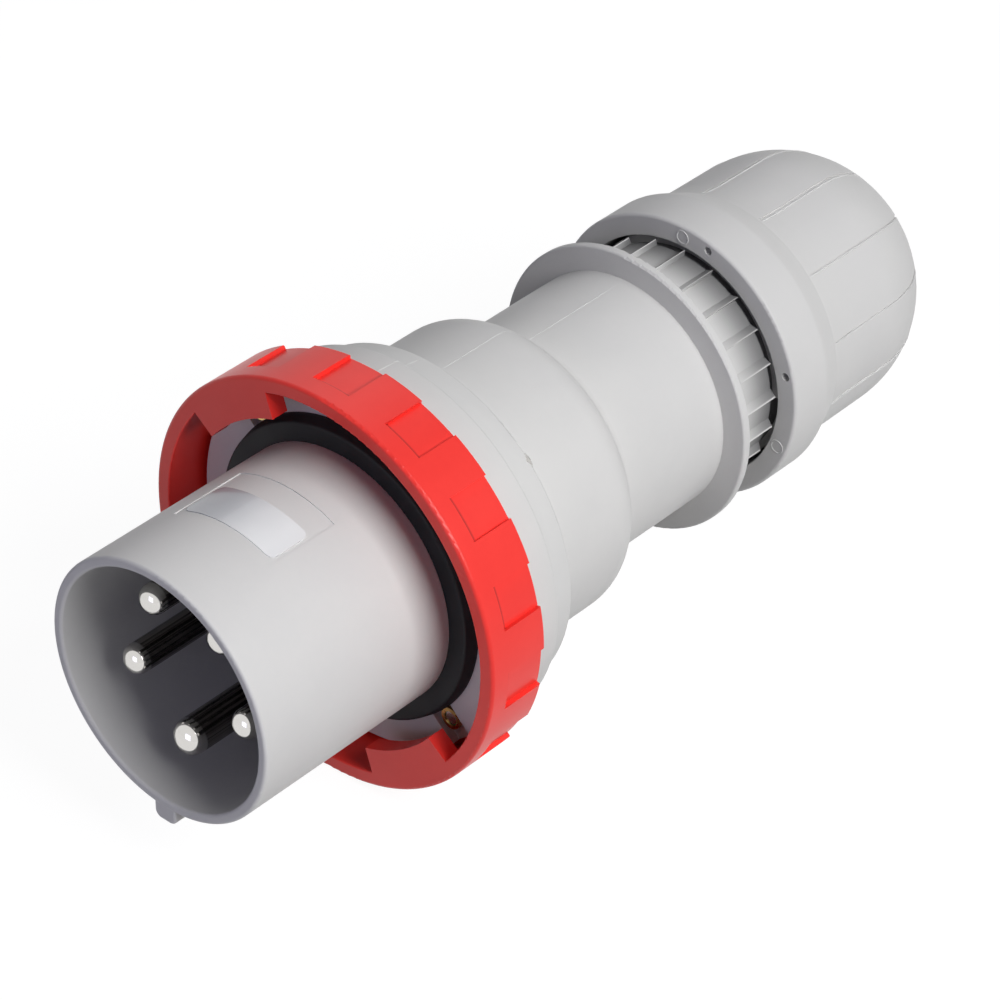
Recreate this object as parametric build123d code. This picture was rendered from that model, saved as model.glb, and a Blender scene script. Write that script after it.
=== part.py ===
from build123d import *
import math
import os

# Industrial pin and sleeve plug, 125 A, five poles, with a bayonet ring and a cable gland.
# Millimetres. The plug's axis is +Y, from the mouth of the shroud back to the cable entry,
# and +Z is up, through the rating label. The origin is on the axis, in the plane where the
# front of the face gasket meets the socket. Angles run from +X towards +Z.

# Clearances, and how far a cutting shape runs past the face that it cuts
turning_gap = 0.3
seat_gap = 0.05
flange_gap = 0.3
past = 1.0

# Contact pins: the earth pin is at the bottom and the others follow it anticlockwise
pin_names = ["pin_earth", "pin_l1", "pin_l2", "pin_l3", "pin_neutral"]
pin_circle_radius = 24.5
earth_pin_angle = 270.0
earth_pin_radius = 6.0
phase_pin_radius = 5.0
earth_pin_reach = 71.0
phase_pin_reach = 69.0
pin_dome_share = 0.8
pin_seat_step = 0.4
pin_seat_length = 14.0
pin_collar_radius = 10.5
pin_collar_length = 5.0
barrel_radius = 9.0
barrel_length = 43.0
conductor_hole_radius = 5.75
conductor_hole_depth = 32.0
terminal_screw_radius = 4.0
terminal_screw_length = 7.5
terminal_screw_pitch = 12.0
terminal_screw_setback = 9.0
terminal_socket_width = 4.0
terminal_socket_depth = 3.4

# Shroud: the grey tube round the pins, with its flange and the key below it
shroud_outer_radius = 45.0
shroud_wall = 3.6
shroud_length = 79.0
shroud_rim_rounding = 1.2
flange_front = 5.0
flange_thickness = 6.0
flange_width = 19.0
gasket_groove_depth = 0.4
key_width = 9.0
key_height = 5.2
key_length = 74.0
key_root = 1.0

# Rating label: a film inside a shallow recess on top of the shroud
recess_setback = 28.6
recess_length = 28.2
recess_sweep = 51.6
recess_depth = 0.3
film_setback = 31.3
film_length = 16.0
film_sweep = 48.2
film_thickness = 0.25
film_rounding = 2.5

# Contact carrier and the plate that holds the pins in it
carrier_depth = 12.0
carrier_flange_width = 5.5
carrier_flange_thickness = 4.0
carrier_collar_gap = 2.0
carrier_collar_width = 2.0
carrier_collar_height = 1.5
retainer_recess = 1.0
retainer_thickness = 6.0
sleeve_gap = 0.6
sleeve_wall = 2.0
sleeve_length = 31.0
window_width = 10.0
window_margin = 4.0
carrier_screw_inset = 5.4
carrier_screw_angles = [90.0, 234.0, 306.0]
carrier_screw_radius = 2.0
carrier_screw_clearance = 0.2
carrier_screw_head_radius = 3.8
carrier_screw_head_height = 2.6
carrier_screw_bite = 8.0
carrier_screw_slot_width = 0.9
carrier_screw_slot_depth = 1.2

# Face gasket
gasket_front_width = 6.6
gasket_rear_width = 7.6
gasket_band = 1.2

# Flange screws and their brass inserts
flange_screw_inset = 7.6
flange_screw_angles = [45.0, 135.0, 225.0, 315.0]
flange_screw_radius = 2.5
flange_screw_hole_radius = 2.8
flange_screw_head_radius = 4.15
flange_screw_head_height = 4.6
flange_screw_slot_width = 1.1
flange_screw_slot_depth = 1.6
flange_screw_seat_depth = 4.2
counterbore_gap = 0.2
insert_radius = 3.8
insert_length = 5.0
pocket_width = 10.5
pocket_depth = 3.5
pocket_inset = 4.8

# Seal between the shroud's flange and the housing
o_ring_inset = 11.8
o_ring_thickness = 1.7
o_ring_spare = 0.05

# Coupling ring: the red bayonet ring
ring_play = 2.0
ring_wall = 5.3
ring_front = -9.5
ring_edge_rounding = 1.3
ring_lip_thickness = 2.7
ring_root = 1.0
grip_count = 15
grip_recess_depth = 1.5
grip_recess_front = -2.4
lug_reach = 8.9
lug_thickness = 6.4
lug_sweep = 33.5
lug_angles = [125.0, 305.0]
ring_turn_back = 8.0
ring_turn_on = 42.0
stop_sweep = 6.0
stop_angle = 200.0
stop_spare = 1.0
stop_inset = 0.4

# Housing: two bands, the wide barrel, the narrow body, the disc and the toothed neck
spigot_inset = 3.8
band_front_height = 5.8
band_front_length = 13.9
band_step_height = 4.0
band_rear_length = 11.0
band_front_taper = 1.0
band_rear_taper = 1.5
band_rounding = 1.8
wide_step = 7.0
wide_end = 79.8
narrow_start = 85.3
shoulder_height = 9.3
shoulder_rounding = 13.0
shoulder_fillet = 5.0
housing_wall = 3.6
disc_front = 134.0
disc_height = 8.7
disc_thickness = 3.4
neck_step = 0.5
neck_end = 160.5
tooth_count = 22
tooth_height = 0.9
tooth_root = 0.6
tooth_sweep = 6.0
tooth_first_angle = 86.0
thread_step = 0.3
thread_end = 190.0
neck_wall = 5.1
seal_seat = 147.0
seal_seat_thickness = 4.0
seal_seat_width = 5.8

# Cable gland inside the nut
seal_length = 20.0
seal_thickness = 14.8
seal_slit_insets = [5.3, 10.3]
seal_slit_width = 0.8
seal_slit_depth = 9.0
cage_ring_length = 6.0
cage_ring_width = 10.8
finger_count = 12
finger_first_angle = 15.0
finger_length = 41.0
finger_thickness = 3.2
finger_slot = 3.4
finger_point_length = 4.0
finger_point_slope = 1.8
finger_point_lead = 1.2
slip_ring_front = 221.0
slip_ring_thickness = 6.0
slip_ring_width = 12.6
slip_ring_cone_width = 7.5
slip_ring_cone_setback = 1.5

# Gland nut: the collar and the dome
nut_front = 160.7
nut_neck_gap = 0.5
nut_bore_length = 6.3
nut_bore_chamfer = 1.5
collar_wall = 7.7
collar_end = 177.5
collar_edge_rounding = 1.2
collar_rear_drop = 3.7
collar_rear_rounding = 6.0
dome_drop = 4.6
dome_front = 187.0
dome_flare = 0.7
dome_flare_length = 8.0
dome_flare_rounding = 30.0
dome_lean = 0.4
dome_shoulder = 218.0
dome_rounding_inset = 4.7
nut_end = 253.6
entry_radius = 25.0
entry_length = 10.0
entry_lip_rounding = 0.7
slip_lip_height = 1.2
slip_lip_width = 0.8
slip_lip_slope = 1.2
slip_seat_width = 8.2
dome_line_count = 12
dome_line_first_angle = 15.0
dome_line_width = 0.9
dome_line_depth = 0.4
spanner_hole_count = 6
spanner_hole_inset = 3.3
spanner_hole_radius = 1.5
spanner_hole_depth = 4.0

# Places along the axis that follow from the sizes above
mouth = -shroud_length
flange_rear = flange_front + flange_thickness
carrier_rear = flange_rear - retainer_recess
carrier_front = carrier_rear - carrier_depth - pin_collar_length
collar_front = carrier_rear - pin_collar_length
pin_seat_front = collar_front - pin_seat_length
barrel_end = carrier_rear + barrel_length
retainer_rear = carrier_rear + retainer_thickness
ring_lip_front = flange_rear + flange_gap
ring_rear = ring_lip_front + ring_lip_thickness
band_front = ring_rear + flange_gap
band_step = band_front + band_front_length
band_rear = band_step + band_rear_length
screw_seat = band_rear - flange_screw_seat_depth
disc_rear = disc_front + disc_thickness
groove_bottom = flange_rear + o_ring_thickness + 2 * o_ring_spare
cage_front = seal_seat + seal_length
finger_end = cage_front + cage_ring_length + finger_length
slip_ring_rear = slip_ring_front + slip_ring_thickness

# Radii that follow from the sizes above
shroud_inner_radius = shroud_outer_radius - shroud_wall
shroud_flange_radius = shroud_outer_radius + flange_width
carrier_radius = shroud_inner_radius - turning_gap
carrier_flange_radius = shroud_outer_radius + carrier_flange_width
carrier_screw_circle = shroud_inner_radius - carrier_screw_inset
retainer_radius = shroud_inner_radius - turning_gap
gasket_inner_radius = shroud_outer_radius - gasket_groove_depth + seat_gap
flange_screw_circle = shroud_flange_radius - flange_screw_inset
counterbore_radius = flange_screw_head_radius + counterbore_gap
o_ring_circle = shroud_flange_radius - o_ring_inset
groove_inner = o_ring_circle - o_ring_thickness / 2 - o_ring_spare
groove_outer = o_ring_circle + o_ring_thickness / 2 + o_ring_spare
ring_bore_radius = shroud_flange_radius + ring_play
ring_outer_radius = ring_bore_radius + ring_wall
spigot_radius = shroud_flange_radius - spigot_inset
band_front_radius = spigot_radius + band_front_height
band_rear_radius = band_front_radius - band_step_height
wide_radius = shroud_outer_radius + wide_step
cavity_radius = wide_radius - housing_wall
narrow_radius = wide_radius - shoulder_height
narrow_cavity_radius = narrow_radius - housing_wall
disc_radius = narrow_radius + disc_height
neck_radius = narrow_radius - neck_step
thread_radius = neck_radius - thread_step
gland_bore_radius = thread_radius - neck_wall
seal_seat_bore_radius = gland_bore_radius - seal_seat_width
seal_bore_radius = gland_bore_radius - seal_thickness
cage_radius = gland_bore_radius - turning_gap
cage_ring_bore_radius = gland_bore_radius - cage_ring_width
nut_bore_radius = neck_radius + tooth_height + nut_neck_gap
nut_thread_radius = thread_radius + turning_gap
slip_ring_radius = nut_thread_radius - 2 * turning_gap
slip_ring_bore_radius = slip_ring_radius - slip_ring_width
slip_seat_radius = nut_thread_radius - slip_seat_width
collar_radius = nut_bore_radius + collar_wall
collar_rear_radius = collar_radius - collar_rear_drop
dome_radius = collar_radius - dome_drop
dome_rounding = dome_radius - dome_rounding_inset
spanner_hole_circle = collar_radius - spanner_hole_inset


def turned(*corners):
    """Turns a closed outline of (radius, y, rounding) corners about the plug's axis."""
    outline = make_face(Polyline([(radius, y) for radius, y, _ in corners], close=True))
    for radius, y, rounding in corners:
        if rounding > 0:
            corner = outline.vertices().sort_by_distance((radius, y, 0))[0]
            outline = fillet(corner, rounding)
    return revolve(outline, Axis.Y)


def tube(inner, outer, front, rear):
    """Plain tube between two planes."""
    return turned((inner, front, 0), (outer, front, 0), (outer, rear, 0), (inner, rear, 0))


def rod(radius, front, rear):
    """Plain round bar on the plug's axis."""
    return Pos(0, (front + rear) / 2, 0) * Rot(90, 0, 0) * Cylinder(radius, rear - front)


def at_angle(shape, distance, degrees):
    """Moves a shape off the axis, to a distance and an angle measured from +X towards +Z."""
    turn = math.radians(degrees)
    return Pos(distance * math.cos(turn), 0, distance * math.sin(turn)) * shape


def spun(shape, degrees):
    """Turns a shape about the plug's axis, from +X towards +Z."""
    return Rot(0, -degrees, 0) * shape


def sector(inner, outer, front, rear, middle, sweep):
    """Piece of a tube, sweep degrees wide, centred on an angle."""
    half = math.radians(sweep / 2)
    reach = outer * 1.5
    side = (reach * math.cos(half), reach * math.sin(half))
    wedge = Polyline((0, 0), side, (reach * 1.2, 0), (side[0], -side[1]), close=True)
    across = Plane(origin=(0, front, 0), x_dir=(1, 0, 0), z_dir=(0, 1, 0))
    slice_of = extrude(across * make_face(wedge), rear - front)
    return spun(tube(inner, outer, front, rear) & slice_of, middle)


def radial_box(inner, outer, front, rear, width, degrees):
    """Box that stands out along a radius."""
    middle = Pos((inner + outer) / 2, (front + rear) / 2, 0)
    return spun(middle * Box(outer - inner, rear - front, width), degrees)


def pin_angle(index):
    """Angle of a pin, by its place in the list of pins."""
    return earth_pin_angle + index * 360 / len(pin_names)


def pin_radius(name):
    """Radius of a pin's shank."""
    return earth_pin_radius if name == "pin_earth" else phase_pin_radius


def contact_pin(name):
    """Turned pin: domed end, shank, seat, collar and the barrel that clamps the conductor."""
    radius = pin_radius(name)
    seat_radius = radius + pin_seat_step
    reach = earth_pin_reach if name == "pin_earth" else phase_pin_reach
    body = turned((0, -reach, 0), (radius, -reach, radius * pin_dome_share), (radius, pin_seat_front, 0),
                  (seat_radius, pin_seat_front, 0), (seat_radius, collar_front, 0),
                  (pin_collar_radius, collar_front, 0.4), (pin_collar_radius, carrier_rear, 0.4),
                  (barrel_radius, carrier_rear, 0), (barrel_radius, barrel_end, 0.8), (0, barrel_end, 0))
    body -= rod(conductor_hole_radius, barrel_end - conductor_hole_depth, barrel_end + past)
    screw_hole = Rot(0, 90, 0) * Cylinder(terminal_screw_radius + seat_gap, barrel_radius + 2 * past)
    for y in terminal_screw_places():
        body -= Pos(barrel_radius / 2 + past, y, 0) * screw_hole
    return body


def terminal_screw_places():
    """Where the two terminal screws of each barrel stand along the axis."""
    first = barrel_end - terminal_screw_setback
    return [first, first - terminal_screw_pitch]


def terminal_screw(y):
    """Socket set screw that stands out of the barrel, away from the plug's axis."""
    screw = Cylinder(terminal_screw_radius, terminal_screw_length)
    screw = chamfer(screw.edges().filter_by(GeomType.CIRCLE), 0.6)
    hexagon = RegularPolygon(terminal_socket_width / 2, 6, major_radius=False)
    socket = extrude(hexagon, terminal_socket_depth)
    screw -= Pos(0, 0, terminal_screw_length / 2 - terminal_socket_depth) * socket
    out = conductor_hole_radius + seat_gap + terminal_screw_length / 2
    return Pos(out, y, 0) * Rot(0, 90, 0) * screw


def placed_pin(shape, index):
    """Carries a shape from the plug's axis to a pin's place, with its +X side outwards."""
    return spun(Pos(pin_circle_radius, 0, 0) * shape, pin_angle(index))


def make_front_shroud():
    """Moulded tube with a key along the bottom and a flange that the ring turns round."""
    groove_radius = shroud_outer_radius - gasket_groove_depth
    step = flange_rear - carrier_flange_thickness
    shroud = turned(
        (shroud_inner_radius, mouth, shroud_rim_rounding),
        (shroud_outer_radius, mouth, shroud_rim_rounding), (shroud_outer_radius, 0, 0),
        (groove_radius, 0, 0), (groove_radius, flange_front, 0),
        (shroud_flange_radius, flange_front, 0.8), (shroud_flange_radius, flange_rear, 0.4),
        (carrier_flange_radius + turning_gap, flange_rear, 0),
        (carrier_flange_radius + turning_gap, step, 0), (shroud_inner_radius, step, 0))
    shroud += shroud_key()
    recess_front = mouth + recess_setback
    shroud -= sector(shroud_outer_radius - recess_depth, shroud_outer_radius + past, recess_front,
                     recess_front + recess_length, 90, recess_sweep)
    for angle in flange_screw_angles:
        shroud -= radial_box(flange_screw_circle - pocket_inset, shroud_flange_radius + past,
                             flange_front - past, flange_front + pocket_depth, pocket_width, angle)
        insert_hole = rod(insert_radius + seat_gap / 2, flange_front, flange_rear + past)
        shroud -= at_angle(insert_hole, flange_screw_circle, angle)
    shroud += sector(shroud_flange_radius - past, ring_bore_radius - turning_gap, flange_front + stop_inset,
                     flange_rear - stop_inset, stop_angle, stop_sweep)
    return shroud


def shroud_key():
    """Rib below the shroud that lets the plug into the socket one way round only."""
    middle = Pos(0, mouth + key_length / 2, (key_root - key_height) / 2 - shroud_outer_radius)
    key = middle * Box(key_width, key_length, key_height + key_root)
    lower = key.edges().filter_by(Axis.Y).sort_by(Axis.Z)[:2]
    key = fillet(lower, key_width * 0.3)
    return fillet(key.faces().sort_by(Axis.Y)[0].edges().sort_by(Axis.Z)[:-1], 1.0)


def make_rating_label():
    """Blank film with rounded corners, stuck inside the recess on top of the shroud."""
    inner = shroud_outer_radius - recess_depth
    film_front = mouth + film_setback
    film = sector(inner, inner + film_thickness, film_front, film_front + film_length, 90, film_sweep)
    corners = [edge for edge in film.edges() if edge.length < 2 * film_thickness]
    return fillet(corners, film_rounding)


def make_face_gasket():
    """Rubber ring that the socket's rim is pulled on to."""
    front_radius = shroud_outer_radius + gasket_front_width
    rear_radius = shroud_outer_radius + gasket_rear_width
    return turned((gasket_inner_radius, 0, 0.6), (front_radius, 0, 1.0),
                  (rear_radius, flange_front - gasket_band, 0.5),
                  (rear_radius, flange_front, 0), (gasket_inner_radius, flange_front, 0))


def make_contact_carrier():
    """Moulded insert that the pins pass through, clamped between the shroud and the housing."""
    step = flange_rear - carrier_flange_thickness
    recess_radius = retainer_radius + turning_gap
    carrier = turned((0, carrier_front, 0), (carrier_radius, carrier_front, 1.0), (carrier_radius, step, 0),
                     (carrier_flange_radius, step, 0), (carrier_flange_radius, flange_rear, 0),
                     (recess_radius, flange_rear, 0), (recess_radius, carrier_rear, 0),
                     (0, carrier_rear, 0))
    for index, name in enumerate(pin_names):
        collar_bore = pin_radius(name) + carrier_collar_gap
        collar = tube(collar_bore, collar_bore + carrier_collar_width,
                      carrier_front - carrier_collar_height, carrier_front + past)
        bore = rod(pin_radius(name) + pin_seat_step + seat_gap, carrier_front - past, collar_front + past)
        bore += rod(pin_collar_radius + seat_gap, collar_front, carrier_rear + past)
        carrier += placed_pin(collar, index)
        carrier -= placed_pin(bore, index)
    hole_end = carrier_rear - carrier_screw_bite - past
    screw_hole = rod(carrier_screw_radius + seat_gap, hole_end, carrier_rear + past)
    for angle in carrier_screw_angles:
        carrier -= at_angle(screw_hole, carrier_screw_circle, angle)
    return carrier


def make_pin_retainer():
    """Plate behind the pins' collars, with a sleeve round each barrel and windows for the screws."""
    sleeve_bore = barrel_radius + sleeve_gap
    sleeve_end = retainer_rear + sleeve_length
    window_length = sleeve_length - window_margin
    window = Pos(sleeve_bore, sleeve_end - window_length / 2 + past / 2, 0)
    window = window * Box(sleeve_bore, window_length + past, window_width)
    retainer = rod(retainer_radius, carrier_rear, retainer_rear)
    for index in range(len(pin_names)):
        retainer += placed_pin(rod(sleeve_bore + sleeve_wall, retainer_rear - past, sleeve_end), index)
    for index in range(len(pin_names)):
        retainer -= placed_pin(rod(sleeve_bore, carrier_rear - past, sleeve_end + past), index)
        retainer -= placed_pin(window, index)
    hole_radius = carrier_screw_radius + carrier_screw_clearance
    screw_hole = rod(hole_radius, carrier_rear - past, retainer_rear + past)
    for angle in carrier_screw_angles:
        retainer -= at_angle(screw_hole, carrier_screw_circle, angle)
    return retainer


def slotted_screw(radius, tip, seat, head_radius, head_height, head_rounding, slot_width, slot_depth):
    """Cheese-head screw on the plug's axis, with its head towards the cable."""
    top = seat + head_height
    screw = turned((0, tip, 0), (radius, tip, 0.4), (radius, seat, 0), (head_radius, seat, 0),
                   (head_radius, top, head_rounding), (0, top, 0))
    return screw - Pos(0, top, 0) * Box(slot_width, 2 * slot_depth, 2 * head_radius)


def make_carrier_screws():
    """Three screws that pull the retainer on to the carrier."""
    screw = slotted_screw(carrier_screw_radius, carrier_rear - carrier_screw_bite, retainer_rear,
                          carrier_screw_head_radius, carrier_screw_head_height, 1.0,
                          carrier_screw_slot_width, carrier_screw_slot_depth)
    return [at_angle(screw, carrier_screw_circle, angle) for angle in carrier_screw_angles]


def make_coupling_ring():
    """Red ring: gripping lands outside, two bayonet lugs in front and a lip that runs on the housing."""
    lip_radius = spigot_radius + turning_gap
    ring = turned((ring_bore_radius, ring_front, 0.5), (ring_outer_radius, ring_front, ring_edge_rounding),
                  (ring_outer_radius, ring_rear, 0.6), (lip_radius, ring_rear, 0),
                  (lip_radius, ring_lip_front, 0), (ring_bore_radius, ring_lip_front, 0))
    pitch = 360 / grip_count
    recess = sector(ring_outer_radius - grip_recess_depth, ring_outer_radius + past, grip_recess_front,
                    ring_rear + past, 90, pitch / 2)
    for index in range(grip_count):
        ring -= spun(recess, index * pitch)
    root_radius = ring_bore_radius + ring_root
    lug_inner_radius = ring_bore_radius - lug_reach
    for angle in lug_angles:
        ring += sector(lug_inner_radius, root_radius, ring_front, ring_front + lug_thickness,
                       angle, lug_sweep)
    stop_inner_radius = shroud_flange_radius + turning_gap
    for angle in ring_stop_angles():
        ring += sector(stop_inner_radius, root_radius, flange_front, ring_lip_front + past / 2,
                       angle, stop_sweep)
    return ring


def ring_stop_angles():
    """The ring's two stops, one each side of the shroud's. Locking turns the ring to larger angles."""
    clear = stop_sweep + stop_spare
    return [stop_angle - ring_turn_on - clear, stop_angle + ring_turn_back + clear]


def make_flange_screws():
    """Four screws that pull the shroud's flange on to the housing."""
    screw = slotted_screw(flange_screw_radius, flange_rear - insert_length + stop_inset, screw_seat,
                          flange_screw_head_radius, flange_screw_head_height, 0.8,
                          flange_screw_slot_width, flange_screw_slot_depth)
    return [at_angle(screw, flange_screw_circle, angle) for angle in flange_screw_angles]


def make_brass_inserts():
    """Threaded bushes in the flange that the screws turn into."""
    bush = tube(flange_screw_radius + seat_gap, insert_radius, flange_rear - insert_length, flange_rear)
    return [at_angle(bush, flange_screw_circle, angle) for angle in flange_screw_angles]


def neck_teeth():
    """Ratchet teeth round the neck: each rises slowly and drops square on its lower side."""
    start = disc_rear - past
    crest = neck_radius + tooth_height
    root = neck_radius - tooth_root
    rise = math.radians(tooth_sweep)
    foot = (root * math.cos(rise), root * math.sin(rise))
    tooth = make_face(Polyline((root, 0), (crest, 0), foot, close=True))
    across = Plane(origin=(0, start, 0), x_dir=(1, 0, 0), z_dir=(0, -1, 0))
    bar = extrude(across * tooth, start - neck_end)
    return [spun(bar, tooth_first_angle + index * 360 / tooth_count) for index in range(tooth_count)]


def make_housing():
    """Main moulding, from the spigot that carries the ring to the threaded neck."""
    seal_seat_front = seal_seat - seal_seat_thickness
    housing = turned(
        (cavity_radius, flange_rear, 0), (groove_inner, flange_rear, 0), (groove_inner, groove_bottom, 0),
        (groove_outer, groove_bottom, 0), (groove_outer, flange_rear, 0), (spigot_radius, flange_rear, 0),
        (spigot_radius, band_front, 0), (band_front_radius, band_front, 0.6),
        (band_front_radius - band_front_taper, band_step, band_rounding),
        (band_rear_radius, band_step, 1.0),
        (band_rear_radius - band_rear_taper, band_rear, band_rounding),
        (wide_radius, band_rear, 1.0), (wide_radius, wide_end, shoulder_rounding),
        (narrow_radius, narrow_start, shoulder_fillet), (narrow_radius, disc_front, 0),
        (disc_radius, disc_front, 0.9), (disc_radius, disc_rear, 0.9),
        (neck_radius, disc_rear, 0), (neck_radius, neck_end, 0), (thread_radius, neck_end, 0),
        (thread_radius, thread_end, 1.0), (gland_bore_radius, thread_end, 0.6),
        (gland_bore_radius, seal_seat, 0),
        (seal_seat_bore_radius, seal_seat, 0), (seal_seat_bore_radius, seal_seat_front, 0),
        (narrow_cavity_radius, seal_seat_front, 0), (narrow_cavity_radius, narrow_start - 1, 3.0),
        (cavity_radius, wide_end - 3, 5.0))
    housing += neck_teeth()
    hole = rod(flange_screw_hole_radius, flange_rear - past, screw_seat + past)
    hole += rod(counterbore_radius, screw_seat, band_rear + past)
    housing -= [at_angle(hole, flange_screw_circle, angle) for angle in flange_screw_angles]
    return housing


def make_flange_o_ring():
    """Round-section seal in the groove between the housing and the shroud's flange."""
    middle = groove_bottom - o_ring_spare - o_ring_thickness / 2
    return revolve(Pos(o_ring_circle, middle) * Circle(o_ring_thickness / 2), Axis.Y)


def make_gland_seal():
    """Rubber sleeve with peel-out rings for thinner cables."""
    seal = turned((seal_bore_radius, seal_seat, 1.5), (cage_radius, seal_seat, 0.8),
                  (cage_radius, cage_front, 0.8), (seal_bore_radius, cage_front, 1.5))
    for inset in seal_slit_insets:
        radius = gland_bore_radius - inset
        seal -= tube(radius, radius + seal_slit_width, cage_front - seal_slit_depth, cage_front + past)
    return seal


def make_clamp_cage():
    """Ring with spring fingers that close on the cable when the nut is tightened."""
    ring_rear = cage_front + cage_ring_length
    finger_inner_radius = cage_radius - finger_thickness
    point_start = finger_end - finger_point_length
    cage = turned((cage_ring_bore_radius, cage_front, 0.5), (cage_radius, cage_front, 0.5),
                  (cage_radius, point_start, 0), (cage_radius - finger_point_slope, finger_end, 0.5),
                  (finger_inner_radius - finger_point_lead, finger_end, 0.5),
                  (finger_inner_radius, ring_rear, 0), (cage_ring_bore_radius, ring_rear, 0.8))
    slot = radial_box(finger_inner_radius - 4 * past, cage_radius + past, ring_rear + past,
                      finger_end + past, finger_slot, finger_first_angle)
    for index in range(finger_count):
        cage -= spun(slot, index * 360 / finger_count)
    return cage


def make_slip_ring():
    """Washer that the nut turns against, coned to press the fingers in."""
    return turned((slip_ring_bore_radius + slip_ring_cone_width, slip_ring_front, 0.4),
                  (slip_ring_radius, slip_ring_front, 0.5), (slip_ring_radius, slip_ring_rear, 0.5),
                  (slip_ring_bore_radius, slip_ring_rear, 0.5),
                  (slip_ring_bore_radius, slip_ring_rear - slip_ring_cone_setback, 0))


def dome_solid(inset):
    """Outer form of the dome, drawn in by an inset."""
    end = dome_shoulder + dome_rounding
    return turned((0, dome_front, 0), (dome_radius + dome_flare - inset, dome_front, 0),
                  (dome_radius - inset, dome_front + dome_flare_length, dome_flare_rounding),
                  (dome_radius - dome_lean - inset, end - inset, dome_rounding - inset),
                  (0, end - inset, 0))


def nut_cavity():
    """Hollow of the nut: neck clearance, thread, the lip that holds the slip ring and the cable entry."""
    seat = slip_ring_rear + turning_gap
    lip_rear = slip_ring_front - turning_gap
    lip_front = lip_rear - slip_lip_width
    lip_radius = nut_thread_radius - slip_lip_height
    bore_rear = nut_front + nut_bore_length
    return turned(
        (0, nut_front - past, 0), (nut_bore_radius, nut_front - past, 0),
        (nut_bore_radius, bore_rear, 0), (nut_thread_radius, bore_rear + nut_bore_chamfer, 0),
        (nut_thread_radius, lip_front - slip_lip_slope, 0), (lip_radius, lip_front, 0),
        (lip_radius, lip_rear, 0), (nut_thread_radius, lip_rear, 0), (nut_thread_radius, seat, 0),
        (slip_seat_radius, seat, 0), (entry_radius, nut_end - entry_length, 2.0),
        (entry_radius, nut_end + past, 0), (0, nut_end + past, 0))


def make_gland_nut():
    """Screwed nut: a collar with spanner holes, and a dome down to the cable entry."""
    collar = turned((nut_bore_radius, nut_front, 0.4), (collar_radius, nut_front, collar_edge_rounding),
                    (collar_radius, collar_end, collar_rear_rounding), (collar_rear_radius, dome_front, 0),
                    (nut_bore_radius, dome_front, 0))
    nut = collar + dome_solid(0)
    nut -= tube(0, collar_radius, nut_end, nut_end + dome_rounding)
    nut -= nut_cavity()
    nut = fillet(nut.faces().sort_by(Axis.Y)[-1].edges(), entry_lip_rounding)
    groove_shell = dome_solid(-dome_line_depth) - dome_solid(dome_line_depth)
    blade = Pos(dome_radius, (dome_front + nut_end) / 2, 0)
    blade = blade * Box(dome_radius, nut_end - dome_front - 2 * past, dome_line_width)
    groove = groove_shell & blade
    for index in range(dome_line_count):
        nut -= spun(groove, dome_line_first_angle + index * 360 / dome_line_count)
    hole = rod(spanner_hole_radius, nut_front - past, nut_front + spanner_hole_depth)
    for index in range(spanner_hole_count):
        angle = dome_line_first_angle + index * 360 / spanner_hole_count
        nut -= at_angle(hole, spanner_hole_circle, angle)
    return nut


def write(name, shape):
    """Writes one node. A list becomes a group of separate solids."""
    solid = Compound(children=list(shape)) if isinstance(shape, list) else shape
    export_step(solid, f"parts/{name}.step")


os.makedirs("parts", exist_ok=True)
for pin_index, pin_name in enumerate(pin_names):
    write(pin_name, placed_pin(contact_pin(pin_name), pin_index))
write("terminal_screws", [placed_pin(terminal_screw(y), index)
                          for index in range(len(pin_names)) for y in terminal_screw_places()])
write("front_shroud", make_front_shroud())
write("rating_label", make_rating_label())
write("face_gasket", make_face_gasket())
write("contact_carrier", make_contact_carrier())
write("pin_retainer", make_pin_retainer())
write("carrier_screws", make_carrier_screws())
write("coupling_ring", make_coupling_ring())
write("flange_o_ring", make_flange_o_ring())
write("flange_screws", make_flange_screws())
write("brass_inserts", make_brass_inserts())
write("housing", make_housing())
write("gland_seal", make_gland_seal())
write("clamp_cage", make_clamp_cage())
write("slip_ring", make_slip_ring())
write("gland_nut", make_gland_nut())
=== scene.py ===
"""Industrial pin and sleeve plug: finishes, fine moulded detail, studio light and camera.

Everything is in metres, in the plug's own frame: +Y runs along the axis from the mouth of the shroud to the
cable entry, and +Z is up through the rating label.
"""

import logging
import math
from dataclasses import dataclass, field
from enum import Enum

import bmesh
import bpy
from mathutils import Matrix, Vector
from mathutils.bvhtree import BVHTree


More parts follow.
